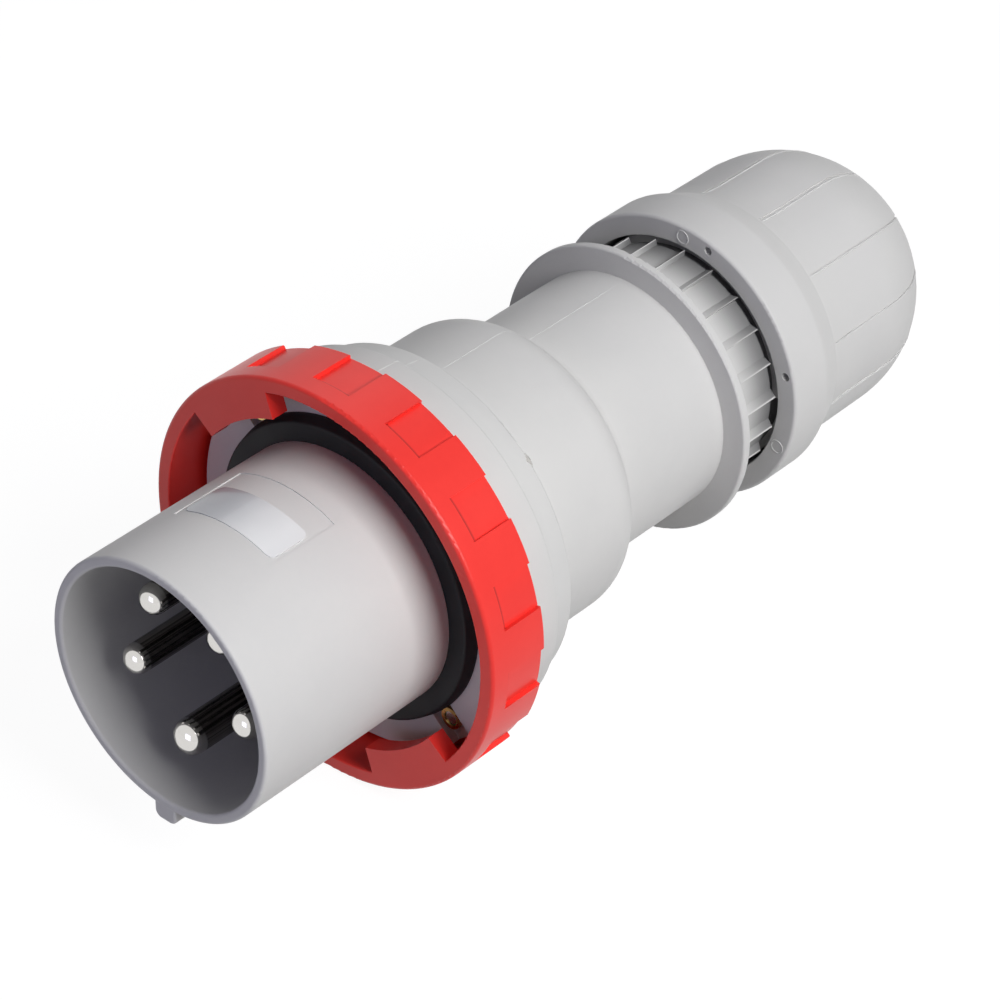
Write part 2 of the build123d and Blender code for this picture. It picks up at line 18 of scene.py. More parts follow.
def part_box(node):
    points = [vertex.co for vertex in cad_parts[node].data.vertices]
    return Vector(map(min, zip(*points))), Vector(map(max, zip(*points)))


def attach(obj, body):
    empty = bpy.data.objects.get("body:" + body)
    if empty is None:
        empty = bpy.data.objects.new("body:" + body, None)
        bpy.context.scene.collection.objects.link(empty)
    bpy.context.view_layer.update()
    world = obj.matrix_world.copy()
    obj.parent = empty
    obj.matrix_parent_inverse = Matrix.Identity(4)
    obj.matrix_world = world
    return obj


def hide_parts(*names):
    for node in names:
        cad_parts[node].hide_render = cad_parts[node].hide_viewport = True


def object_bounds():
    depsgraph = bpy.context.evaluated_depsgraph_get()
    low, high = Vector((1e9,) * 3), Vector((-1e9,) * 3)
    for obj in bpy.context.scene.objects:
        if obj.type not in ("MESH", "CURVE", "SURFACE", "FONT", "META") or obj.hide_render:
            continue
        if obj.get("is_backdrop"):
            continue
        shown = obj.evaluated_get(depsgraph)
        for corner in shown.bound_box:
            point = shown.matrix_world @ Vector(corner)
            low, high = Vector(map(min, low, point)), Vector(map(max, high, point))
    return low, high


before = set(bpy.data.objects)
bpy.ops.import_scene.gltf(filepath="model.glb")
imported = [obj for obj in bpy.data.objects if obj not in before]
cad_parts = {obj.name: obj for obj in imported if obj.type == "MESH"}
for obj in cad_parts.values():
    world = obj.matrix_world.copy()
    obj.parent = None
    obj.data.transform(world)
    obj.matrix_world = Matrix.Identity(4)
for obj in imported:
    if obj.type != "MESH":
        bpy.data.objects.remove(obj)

LOG = logging.getLogger("plug")
MM = 0.001
Material = bpy.types.Material
Piece = bpy.types.Object
Work = bmesh.types.BMesh
Colour = tuple[float, float, float]
Number = "Socket | float"
Places = tuple[tuple[float, float], ...]
WHITE: Colour = (1.0, 1.0, 1.0)
PLUG_AXIS: Places = ((0.0, 0.0),)


class Body(Enum):
    """The rigid bodies that a piece can ride on."""

    PLUG = "plug_body"
    RING = "ring"
    WASHER = "slip_washer"
    NUT = "nut"


class Along(Enum):
    """Which way the fine lines of worked metal run, as cycles per metre along X, Y and Z."""

    LENGTHWISE = (1500.0, 9.0, 1500.0)
    AROUND = (12.0, 900.0, 12.0)


class Socket:
    """A number on its way through a shader, which takes part in plain arithmetic."""

    def __init__(self, graph: "Graph", link: bpy.types.NodeSocket) -> None:
        """Keeps the socket and the graph that it belongs to."""
        self.graph = graph
        self.link = link

    def _maths(self, operation: str, *values: Number) -> "Socket":
        """Adds one Math node.

        Args:
            operation: the node's operation.
            values: its inputs, in order.

        Returns:
            The node's result.
        """
        inputs = dict(enumerate(values))
        return self.graph.node("ShaderNodeMath", {"operation": operation}, inputs).value()

    def __add__(self, other: Number) -> "Socket":
        """self + other."""
        return self._maths("ADD", self, other)

    __radd__ = __add__

    def __sub__(self, other: Number) -> "Socket":
        """self - other."""
        return self._maths("SUBTRACT", self, other)

    def __rsub__(self, other: Number) -> "Socket":
        """other - self."""
        return self._maths("SUBTRACT", other, self)

    def __mul__(self, other: Number) -> "Socket":
        """self * other."""
        return self._maths("MULTIPLY", self, other)

    __rmul__ = __mul__

    def __pow__(self, other: Number) -> "Socket":
        """self to the power of other."""
        return self._maths("POWER", self, other)

    def either(self, other: Number) -> "Socket":
        """The larger of the two, which joins yes-or-no values."""
        return self._maths("MAXIMUM", self, other)

    def ramp(self, low: float, high: float) -> "Socket":
        """Rises smoothly from 0 at low to 1 at high.

        Args:
            low: the value that gives 0.
            high: the value that gives 1, which may be the lower of the two.

        Returns:
            The smooth step.
        """
        settings = {"interpolation_type": "SMOOTHSTEP"}
        inputs = {"Value": self, "From Min": low, "From Max": high}
        return self.graph.node("ShaderNodeMapRange", settings, inputs).value()


@dataclass
class Added:
    """A node that has just been added to a graph."""

    graph: "Graph"
    node: bpy.types.Node

    def value(self, output: str | int = 0) -> Socket:
        """Returns one of the node's outputs."""
        return Socket(self.graph, self.node.outputs[output])


class Graph:
    """A node tree that is built node by node."""

    def __init__(self, tree: bpy.types.NodeTree) -> None:
        """Empties the tree and keeps it."""
        self.tree = tree
        self.tree.nodes.clear()

    def node(self, kind: str, settings: dict | None = None, inputs: dict | None = None) -> Added:
        """Adds a node.

        Args:
            kind: the node's type.
            settings: attributes that are set first.
            inputs: a value or a Socket for each of its sockets, by name or number.

        Returns:
            The new node.
        """
        made = self.tree.nodes.new(kind)
        for name, setting in (settings or {}).items():
            setattr(made, name, setting)
        added = Added(self, made)
        for name, value in (inputs or {}).items():
            self.feed(added, name, value)
        return added

    def feed(self, target: Added, name: str | int, value: "Number | Colour") -> None:
        """Links or sets one input.

        Args:
            target: the node that is fed.
            name: the input's name or number.
            value: a Socket, a number, or a colour or vector.
        """
        socket = target.node.inputs[name]
        if isinstance(value, Socket):
            self.tree.links.new(value.link, socket)
        elif isinstance(value, tuple) and socket.type == "RGBA":
            socket.default_value = (*value, 1.0)
        else:
            socket.default_value = value

    def shows_backdrop(self) -> Socket:
        """Returns 1 for what is seen directly, in a gloss or through glass, and 0 for plain light."""
        rays = self.node("ShaderNodeLightPath")
        seen = rays.value("Is Camera Ray").either(rays.value("Is Glossy Ray"))
        return seen.either(rays.value("Is Transmission Ray"))

    def mix_shaders(self, amount: Number, first: Added, second: Added) -> Added:
        """Mixes two shaders.

        Args:
            amount: 0 gives the first and 1 gives the second.
            first: one shader.
            second: the other.

        Returns:
            The mixed shader.
        """
        return self.node("ShaderNodeMixShader", {}, {0: amount, 1: first.value(), 2: second.value()})


class Surface(Graph):
    """The node tree of one material, with the Principled shader that it ends in.

    A Mix node's sockets for colours are found by number, as those for other types have the same names.
    """

    mix_inputs = (0, 6, 7)
    mix_output = 2

    def __init__(self, name: str) -> None:
        """Makes an empty material.

        Args:
            name: the material's name.
        """
        self.material = bpy.data.materials.new(name)
        self.material.use_nodes = True
        super().__init__(self.material.node_tree)
        self.shader = self.node("ShaderNodeBsdfPrincipled")
        self.output = self.node("ShaderNodeOutputMaterial", {}, {"Surface": self.shader.value()})
        self.place = self.node("ShaderNodeTexCoord").value("Object")

    def stretched(self, scale: Colour) -> Socket:
        """Object coordinates, scaled along each axis.

        Args:
            scale: cycles per metre along X, Y and Z.

        Returns:
            The scaled coordinates.
        """
        return self.node("ShaderNodeMapping", {}, {"Vector": self.place, "Scale": scale}).value()

    def noise(self, place: Socket, scale: float = 1.0, detail: float = 3.0, rough: float = 0.5) -> Socket:
        """Noise from 0 to 1.

        Args:
            place: the coordinates that it is read at.
            scale: its scale there.
            detail: how many finer layers it has.
            rough: how strong each finer layer is.

        Returns:
            The noise.
        """
        inputs = {"Vector": place, "Scale": scale, "Detail": detail, "Roughness": rough}
        return self.node("ShaderNodeTexNoise", {}, inputs).value("Fac")

    def blend(self, amount: Number, low: Colour | Socket, high: Colour | Socket) -> Socket:
        """Mixes two colours.

        Args:
            amount: 0 gives low and 1 gives high.
            low: the first colour.
            high: the second colour.

        Returns:
            The mixed colour.
        """
        inputs = dict(zip(self.mix_inputs, (amount, low, high)))
        return self.node("ShaderNodeMix", {"data_type": "RGBA"}, inputs).value(self.mix_output)

    def axis(self, name: str) -> Socket:
        """One coordinate of the surface, in metres.

        Args:
            name: X, Y or Z.

        Returns:
            The coordinate.
        """
        return self.node("ShaderNodeSeparateXYZ", {}, {"Vector": self.place}).value(name)

    def radius(self) -> Socket:
        """Distance from the plug's axis, in metres."""
        x = self.axis("X")
        z = self.axis("Z")
        return (x * x + z * z) ** 0.5

    def bump(self, height: Socket, depth: float, strength: float = 1.0) -> None:
        """Raises the surface by a height from 0 to 1.

        Args:
            height: the height.
            depth: how far 1 stands out, in metres.
            strength: how much of it is felt.
        """
        inputs = {"Height": height, "Distance": depth, "Strength": strength}
        self.feed(self.shader, "Normal", self.node("ShaderNodeBump", {}, inputs).value())


@dataclass(frozen=True)
class MouldedPlastic:
    """Moulded plastic with a fine spark-eroded grain, faint flow marks and slightly uneven gloss."""

    name: str
    colour: Colour
    flow_colour: Colour
    gloss: float = 0.42
    cloud_gloss: float = 0.08
    grain_gloss: float = 0.06
    sheen_level: float = 0.5
    flow_share: float = 0.6
    cloud_share: float = 0.3
    mottle_share: float = 0.1
    flow_stretch: Colour = (14.0, 5.0, 14.0)
    cloud_scale: float = 60.0
    mottle_scale: float = 420.0
    wave_scale: float = 26.0
    grain_size: float = 0.45 * MM
    grain_depth: float = 0.006 * MM
    wave_depth: float = 0.04 * MM
    relief: float = 0.6

    def material(self) -> Material:
        """Builds the material."""
        graph = Surface(self.name)
        flow = graph.noise(graph.stretched(self.flow_stretch), detail=4.0, rough=0.55)
        cloud = graph.noise(graph.place, self.cloud_scale, detail=3.0, rough=0.5)
        mottle = graph.noise(graph.place, self.mottle_scale, detail=2.0, rough=0.6)
        marks = flow * self.flow_share + cloud * self.cloud_share + mottle * self.mottle_share
        colour = self.tinted(graph, graph.blend(marks.ramp(0.36, 0.64), self.colour, self.flow_colour))
        graph.feed(graph.shader, "Base Color", colour)
        grain = graph.noise(graph.place, 1.0 / self.grain_size, detail=2.0, rough=0.5)
        uneven = (cloud - 0.5) * self.cloud_gloss
        graph.feed(graph.shader, "Roughness", self.gloss + uneven + (grain - 0.5) * self.grain_gloss)
        graph.feed(graph.shader, "Specular IOR Level", self.sheen_level)
        wave = graph.noise(graph.place, self.wave_scale, detail=1.0, rough=0.4)
        graph.bump(grain + wave * (self.wave_depth / self.grain_depth), self.grain_depth, self.relief)
        return graph.material

    def tinted(self, graph: Surface, colour: Socket) -> Socket:
        """Returns the colour as it is, with nothing laid over it."""
        return colour


@dataclass(frozen=True)
class PaintedShadePlastic(MouldedPlastic):
    """Moulded plastic with painted shade over a span of it, between two radii about the plug's axis.

    The painted shade stands in for the shade that falls in corners and under overhangs. None lies in front
    of
    `front`. Behind it, it fades along Y from all of it at `full` to none at `shadeless`, whichever of the
    two comes first.
    """

    painted_shade: Colour = (0.0, 0.0, 0.0)
    shade_share: float = 0.5
    front: float = -1.0
    full: float = 0.0
    shadeless: float = 0.0
    least_radius: float = 0.0
    most_radius: float = 1.0
    soft_front: float = 0.1 * MM
    soft_edge: float = 0.4 * MM

    def tinted(self, graph: Surface, colour: Socket) -> Socket:
        """Lays the painted shade over the colour.

        Args:
            graph: the material's nodes.
            colour: the plain colour.

        Returns:
            The colour with grime.
        """
        along = graph.axis("Y")
        radius = graph.radius()
        behind = along.ramp(self.front - self.soft_front, self.front)
        fading = along.ramp(self.shadeless, self.full)
        outside = radius.ramp(self.least_radius - self.soft_edge, self.least_radius)
        inside = radius.ramp(self.most_radius + self.soft_edge, self.most_radius)
        return graph.blend(behind * fading * outside * inside * self.shade_share, colour, self.painted_shade)


@dataclass(frozen=True)
class BlackRubber:
    """Soft moulded rubber: near black, matt, with a patchy grey bloom."""

    name: str
    colour: Colour = (0.006, 0.006, 0.008)
    bloom: Colour = (0.016, 0.016, 0.019)
    roughness: float = 0.62
    bloom_roughness: float = 0.12
    sheen_level: float = 0.25
    bloom_scale: float = 90.0
    grain_scale: float = 2600.0
    grain_depth: float = 0.012 * MM
    relief: float = 0.7

    def material(self) -> Material:
        """Builds the material."""
        graph = Surface(self.name)
        bloom = graph.noise(graph.place, self.bloom_scale, detail=4.0, rough=0.6).ramp(0.42, 0.72)
        grain = graph.noise(graph.place, self.grain_scale, detail=2.0, rough=0.5)
        graph.feed(graph.shader, "Base Color", graph.blend(bloom, self.colour, self.bloom))
        graph.feed(graph.shader, "Roughness", self.roughness + bloom * self.bloom_roughness)
        graph.feed(graph.shader, "Specular IOR Level", self.sheen_level)
        graph.bump(grain, self.grain_depth, self.relief)
        return graph.material


@dataclass(frozen=True)
class WorkedMetal:
    """Turned metal with fine tool lines and handling smudges."""

    name: str
    colour: Colour
    smudge: Colour
    roughness: float
    line_roughness: float = 0.14
    smudge_roughness: float = 0.1
    smudge_scale: float = 180.0
    line_depth: float = 0.004 * MM
    relief: float = 0.5

    def material(self) -> Material:
        """Builds the material."""
        graph = Surface(self.name)
        lines = graph.noise(graph.stretched(Along.AROUND.value), detail=3.0, rough=0.6)
        smudge = graph.noise(graph.place, self.smudge_scale, detail=4.0, rough=0.55).ramp(0.45, 0.75)
        graph.feed(graph.shader, "Base Color", graph.blend(smudge, self.colour, self.smudge))
        graph.feed(graph.shader, "Metallic", 1.0)
        uneven = (lines - 0.5) * self.line_roughness
        graph.feed(graph.shader, "Roughness", self.roughness + uneven + smudge * self.smudge_roughness)
        graph.bump(lines, self.line_depth, self.relief)
        return graph.material


@dataclass(frozen=True)
class PlatedPin:
    """Nickel-plated pin: a polished domed end, and a shank with fine drawn streaks along its length, whose
    darker colour is painted shade for the dark inside of the shroud that the shank reflects.
    """

    name: str
    dome_ends: float
    bright: Colour = (0.66, 0.645, 0.62)
    # Painted shade: the shank and its streaks are darker than the bright end, for the dark shroud inside it
    # reflects.
    shank: Colour = (0.30, 0.28, 0.26)
    streak: Colour = (0.12, 0.105, 0.095)
    shank_front: float = 0.5 * MM
    shank_full: float = 1.3 * MM
    roughness: float = 0.09
    shank_roughness: float = 0.08
    streak_roughness: float = 0.16
    wear_roughness: float = 0.05
    wear_scale: float = 700.0
    streak_depth: float = 0.008 * MM
    relief: float = 0.6

    def material(self) -> Material:
        """Builds the material."""
        graph = Surface(self.name)
        along = graph.axis("Y")
        shank = along.ramp(self.dome_ends + self.shank_front, self.dome_ends + self.shank_full)
        streaks = graph.noise(graph.stretched(Along.LENGTHWISE.value), detail=2.0, rough=0.5)
        worn = graph.noise(graph.place, self.wear_scale, detail=3.0, rough=0.6)
        # The shank gets the painted shade; the domed end keeps the bright nickel.
        drawn = graph.blend(streaks.ramp(0.42, 0.66), self.shank, self.streak)
        graph.feed(graph.shader, "Base Color", graph.blend(shank, self.bright, drawn))
        graph.feed(graph.shader, "Metallic", 1.0)
        on_shank = shank * (self.shank_roughness + (streaks - 0.5) * self.streak_roughness)
        graph.feed(graph.shader, "Roughness", self.roughness + on_shank + worn * self.wear_roughness)
        graph.bump(streaks * shank, self.streak_depth, self.relief)
        return graph.material


@dataclass(frozen=True)
class LabelFilm:
    """Glossy label film, left blank, white at its near end, with painted shade that makes it darker and
    bluer towards its far end.
    """

    name: str
    colour: Colour = (0.76, 0.77, 0.78)
    # Painted shade: the colour the film fades to on its far (-X) side, away from the key lamp.
    shade_tint: Colour = (0.36, 0.375, 0.41)
    half_width: float = 17.0 * MM
    wander: float = 8.0 * MM
    roughness: float = 0.16
    fibre_roughness: float = 0.08
    coat: float = 0.4
    wave_coat: float = 0.1
    wave_scale: float = 70.0
    fibre_scale: float = 900.0
    wave_depth: float = 0.08 * MM
    relief: float = 0.5

    def material(self) -> Material:
        """Builds the material."""
        graph = Surface(self.name)
        wave = graph.noise(graph.place, self.wave_scale, detail=2.0, rough=0.5)
        fibre = graph.noise(graph.place, self.fibre_scale, detail=2.0, rough=0.5)
        # Painted shade across the film: none on its +X side, all of it on its -X side, with a wavy edge.
        across = graph.axis("X") + (wave - 0.5) * self.wander
        shaded_side = across.ramp(self.half_width, -self.half_width)
        graph.feed(graph.shader, "Base Color", graph.blend(shaded_side, self.colour, self.shade_tint))
        graph.feed(graph.shader, "Roughness", self.roughness + fibre * self.fibre_roughness)
        graph.feed(graph.shader, "Coat Weight", self.coat + wave * self.wave_coat)
        graph.bump(wave, self.wave_depth, self.relief)
        return graph.material


GREY: Colour = (0.67, 0.665, 0.655)
GREY_FLOW: Colour = (0.64, 0.637, 0.63)
GREY_GLOSS = 0.48
GREY_SHEEN = 0.22


@dataclass
class Finishes:
    """Every finish on the plug, each built once."""

    grey: Material = field(default_factory=MouldedPlastic(
        "grey_plastic", GREY, GREY_FLOW, gloss=GREY_GLOSS, sheen_level=GREY_SHEEN).material)
    # Painted shade: the neck darkens towards the nut, standing in for the shade under the nut's collar.
    housing: Material = field(default_factory=PaintedShadePlastic(
        "housing_plastic", GREY, GREY_FLOW, gloss=GREY_GLOSS, sheen_level=GREY_SHEEN,
        painted_shade=(0.07, 0.07, 0.075), shade_share=0.8, front=137.4 * MM, full=161.0 * MM, shadeless=143.0 * MM,
        least_radius=39.0 * MM, most_radius=42.6 * MM).material)
    insert: Material = field(default_factory=MouldedPlastic(
        "insert_plastic", (0.05, 0.05, 0.06), (0.065, 0.065, 0.075), gloss=0.5).material)
    # Painted shade: a dark line on the floor of each gripping recess along its front wall, standing in for
    # the wall's shadow.
    red: Material = field(default_factory=PaintedShadePlastic(
        "red_plastic", (0.90, 0.040, 0.030), (0.85, 0.032, 0.025), gloss=0.36, sheen_level=0.35,
        painted_shade=(0.22, 0.008, 0.007), shade_share=0.6, front=-2.4 * MM, full=-1.1 * MM, shadeless=-0.3 * MM,
        least_radius=69.3 * MM, most_radius=70.1 * MM).material)
    rubber: Material = field(default_factory=BlackRubber("black_rubber").material)
    brass: Material = field(default_factory=WorkedMetal(
        "turned_brass", (0.62, 0.43, 0.16), (0.38, 0.25, 0.09), 0.26).material)
    steel: Material = field(default_factory=WorkedMetal(
        "zinc_steel", (0.52, 0.51, 0.49), (0.3, 0.295, 0.28), 0.26).material)
    label: Material = field(default_factory=LabelFilm("label_film").material)


def on_circle(radius: float, *degrees: float) -> Places:
    """X and Z of points on a circle about the plug's axis, at angles from +X towards +Z."""
    turns = [math.radians(angle) for angle in degrees]
    return tuple((radius * math.cos(turn), radius * math.sin(turn)) for turn in turns)


FLANGE_SCREWS: Places = on_circle(56.4 * MM, 45, 135, 225, 315)


@dataclass(frozen=True)
class Sunk:
    """A round surface about the plug's axis that is let in deeper, so that its ribs stand out more."""

    start: float
    end: float
    radius: float
    depth: float
    tolerance: float = 0.02 * MM

    def let_in(self, work: Work) -> None:
        """Moves the surface's vertices towards the axis.

        Args:
            work: the mesh that holds the surface.
        """
        for vertex in work.verts:
            place = vertex.co
            radius = math.hypot(place.x, place.z)
            inside = self.start - self.tolerance < place.y < self.end + self.tolerance
            if inside and abs(radius - self.radius) < self.tolerance:
                scale = (self.radius - self.depth) / radius
                vertex.co = Vector((place.x * scale, place.y, place.z * scale))


@dataclass
class Shop:
    """The work that every piece gets: smooth shading, a finish, and its place on a body."""

    crease: float = math.radians(28.0)
    fine_crease: float = math.radians(9.0)
    weld: float = 0.5e-6
    same_place: float = 3.0e-6
    least_radius: float = 0.2 * MM
    most_lean: float = 0.1
    direction_steps: int = 500

    def smooth(self, node: str, name: str, body: Body, material: Material, axes: Places = PLUG_AXIS,
               crisp: Places = (), sunk: tuple[Sunk, ...] = ()) -> Piece:
        """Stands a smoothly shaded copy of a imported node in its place.

        Args:
            node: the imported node.
            name: the copy's name.
            body: the body that it rides on.
            material: its finish.
            axes: X and Z of the axes that its round surfaces are turned about.
            crisp: spans along Y where slight edges stay crisp too.
            sunk: round surfaces that are let in deeper.

        Returns:
            The copy.
        """
        work = bmesh.new()
        work.from_mesh(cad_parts[node].data)
        bmesh.ops.remove_doubles(work, verts=work.verts, dist=self.weld)
        for surface in sunk:
            surface.let_in(work)
        piece = self.finish(work, name, body, material, axes, crisp)
        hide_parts(node)
        return piece

    def add(self, work: Work, name: str, body: Body, material: Material) -> Piece:
        """Makes a new piece of fine detail.

        Args:
            work: its shape, which is freed.
            name: the piece's name.
            body: the body that it rides on.
            material: its finish.

        Returns:
            The piece.
        """
        bmesh.ops.recalc_face_normals(work, faces=work.faces)
        return self.finish(work, name, body, material)

    def finish(self, work: Work, name: str, body: Body, material: Material,
               axes: Places = (), crisp: Places = ()) -> Piece:
        """Shades a shape, gives it its finish and puts it on its body.

        Args:
            work: the shape, which is freed.
            name: the piece's name.
            body: the body that it rides on.
            material: its finish.
            axes: X and Z of the axes that its round surfaces are turned about.
            crisp: spans along Y where slight edges stay crisp too.

        Returns:
            The piece.
        """
        for edge in work.edges:
            middle = (edge.verts[0].co.y + edge.verts[1].co.y) / 2
            fine = any(low <= middle <= high for low, high in crisp)
            crease = self.fine_crease if fine else self.crease
            edge.smooth = edge.is_manifold and edge.calc_face_angle(0.0) < crease
        for face in work.faces:
            face.smooth = True
            face.material_index = 0
        mesh = bpy.data.meshes.new(name)
        work.to_mesh(mesh)
        work.free()
        if mesh.has_custom_normals:
            mesh.attributes.remove(mesh.attributes["custom_normal"])
        mesh.materials.append(material)
        if axes:
            self._true_normals(mesh, axes)
        piece = bpy.data.objects.new(name, mesh)
        bpy.context.scene.collection.objects.link(piece)
        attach(piece, body.value)
        LOG.info("made %s on %s: %d faces", name, body.value, len(mesh.polygons))
        return piece

    def _true_normals(self, mesh: bpy.types.Mesh, axes: Places) -> None:
        """Gives faces across an axis, and round faces about it, the normals that they truly have.

        The corners that are shaded together with such a face take its normal. All others only lose the
        sideways lean that long thin triangles give them.

        Args:
            mesh: the mesh, already smooth with its sharp edges marked.
            axes: X and Z of the axes that its round surfaces are turned about.
        """
        places = [vertex.co for vertex in mesh.vertices]
        radial = [self._out_from_axis(place, axes) for place in places]
        shaded = [corner.vector.copy() for corner in mesh.corner_normals]
        true = {}
        for face in mesh.polygons:
            corners = list(face.vertices)
            along = [places[corner].y for corner in corners]
            radii = [radial[corner].length for corner in corners]
            across = max(along) - min(along) < self.same_place
            turned = max(radii) - min(radii) < self.same_place and min(radii) > self.least_radius
            if not across and not (turned and abs(face.normal.y) < self.most_lean):
                continue
            for corner, loop in zip(corners, face.loop_indices):
                way = Vector((0.0, 1.0, 0.0)) if across else radial[corner].normalized()
                true[self._fan(corner, shaded[loop])] = way if face.normal.dot(way) > 0.0 else -way
        normals = []
        for loop, normal in zip(mesh.loops, shaded):
            corner = loop.vertex_index
            exact = true.get(self._fan(corner, normal))
            normals.append(exact if exact else self._squared_up(normal, radial[corner]))
        mesh.normals_split_custom_set(normals)

    def _out_from_axis(self, place: Vector, axes: Places) -> Vector:
        """Returns the way from the nearest axis to a place, square to the axis."""
        ways = [Vector((place.x - x, 0.0, place.z - z)) for x, z in axes]
        return min(ways, key=lambda way: way.length_squared)

    def _fan(self, corner: int, normal: Vector) -> tuple[int, ...]:
        """Names the group of corners that share one vertex and one shaded normal."""
        return (corner, *(round(part * self.direction_steps) for part in normal))

    def _squared_up(self, normal: Vector, radial: Vector) -> Vector:
        """Takes a slight sideways lean out of a normal.

        Args:
            normal: the shaded normal.
            radial: the way from the axis to its place.

        Returns:
            The normal without the lean, or as it was where the lean is large enough to be meant.
        """
        if radial.length < self.least_radius:
            return normal
        across = Vector((-radial.z, 0.0, radial.x)).normalized()
        lean = normal.dot(across)
        return (normal - across * lean).normalized() if abs(lean) < self.most_lean else normal


@dataclass(frozen=True)
class RaisedLine:
    """A fine raised line that runs along a moulding and follows its surface."""

    width: float
    height: float
    steps: int = 120
    root: float = 0.1 * MM
    crest_share: float = 0.3
    fade: float = 8.0
    reach: float = 100.0 * MM

    def along(self, work: Work, tree: BVHTree, angle: float, start: float, end: float) -> None:
        """Adds one line.

        Args:
            work: the mesh that it goes into.
            tree: the surface that it follows.
            angle: its place round the axis, in degrees from +X towards +Z.
            start: its front end along Y.
            end: its rear end along Y.
        """
        out = Vector((math.cos(math.radians(angle)), 0.0, math.sin(math.radians(angle))))
        side = Vector((-out.z, 0.0, out.x)) * (self.width / 2)
        top = side * self.crest_share
        rows = []
        for step in range(self.steps + 1):
            share = step / self.steps
            origin = out * self.reach + Vector((0.0, start + (end - start) * share, 0.0))
            hit, normal, _, _ = tree.ray_cast(origin, -out)
            foot = hit - normal * self.root
            crest = hit + normal * (self.height * min(1.0, self.fade * share, self.fade * (1.0 - share)))
            corners = (foot - side, crest - top, crest + top, foot + side)
            rows.append([work.verts.new(corner) for corner in corners])
        for near, far in zip(rows, rows[1:]):
            for left in range(4):
                right = (left + 1) % 4
                work.faces.new((near[left], near[right], far[right], far[left]))
        work.faces.new(rows[0])
        work.faces.new(rows[-1])


def surface_of(piece: Piece) -> BVHTree:
    """Returns a piece's surface, ready for ray casts."""
    mesh = piece.data
    return BVHTree.FromPolygons([v.co for v in mesh.vertices], [p.vertices for p in mesh.polygons])


@dataclass
class FrontEnd:
    """Shroud with its flange, gasket, label and inserts."""

    shop: Shop
    finishes: Finishes

    def build(self) -> None:
        """Dresses the shroud and what sits on it."""
        self.shop.smooth("front_shroud", "shroud_moulding", Body.PLUG, self.finishes.grey)
        self.shop.smooth("face_gasket", "gasket_ring", Body.PLUG, self.finishes.rubber)
        self.shop.smooth("rating_label", "blank_label", Body.PLUG, self.finishes.label)
        self.shop.smooth("brass_inserts", "insert_bushes", Body.PLUG, self.finishes.brass, FLANGE_SCREWS)


@dataclass
class Contacts:
    """Pins, the carrier that holds them and what clamps the conductors."""

    shop: Shop
    finishes: Finishes
    circle: float = 24.5 * MM
    screw_circle: float = 36.0 * MM
    screw_angles: tuple[float, ...] = (90.0, 234.0, 306.0)
    earth_angle: float = 270.0
    earth_dome: float = 4.8 * MM
    phase_dome: float = 4.0 * MM

    def build(self) -> None:
        """Dresses the five pins and their carrier."""
        pins = ("pin_earth", "pin_l1", "pin_l2", "pin_l3", "pin_neutral")
        step = 360.0 / len(pins)
        places = on_circle(self.circle, *(self.earth_angle + step * index for index in range(len(pins))))
        for node, place in zip(pins, places):
            low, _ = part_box(node)
            dome = self.earth_dome if node == "pin_earth" else self.phase_dome
            finish = PlatedPin(f"{node}_plating", low.y + dome).material()
            self.shop.smooth(node, f"{node}_turned", Body.PLUG, finish, (place,))
        screws = on_circle(self.screw_circle, *self.screw_angles)
        self.shop.smooth("contact_carrier", "carrier_moulding", Body.PLUG, self.finishes.insert)
        self.shop.smooth("pin_retainer", "retainer_moulding", Body.PLUG, self.finishes.insert)
        self.shop.smooth("carrier_screws", "carrier_screw_set", Body.PLUG, self.finishes.steel, screws)
        self.shop.smooth("terminal_screws", "terminal_screw_set", Body.PLUG, self.finishes.steel)


@dataclass
class BayonetRing:
    """The red coupling ring."""

    shop: Shop
    finishes: Finishes

    def build(self) -> None:
        """Dresses the ring."""
        self.shop.smooth("coupling_ring", "bayonet_ring", Body.RING, self.finishes.red)


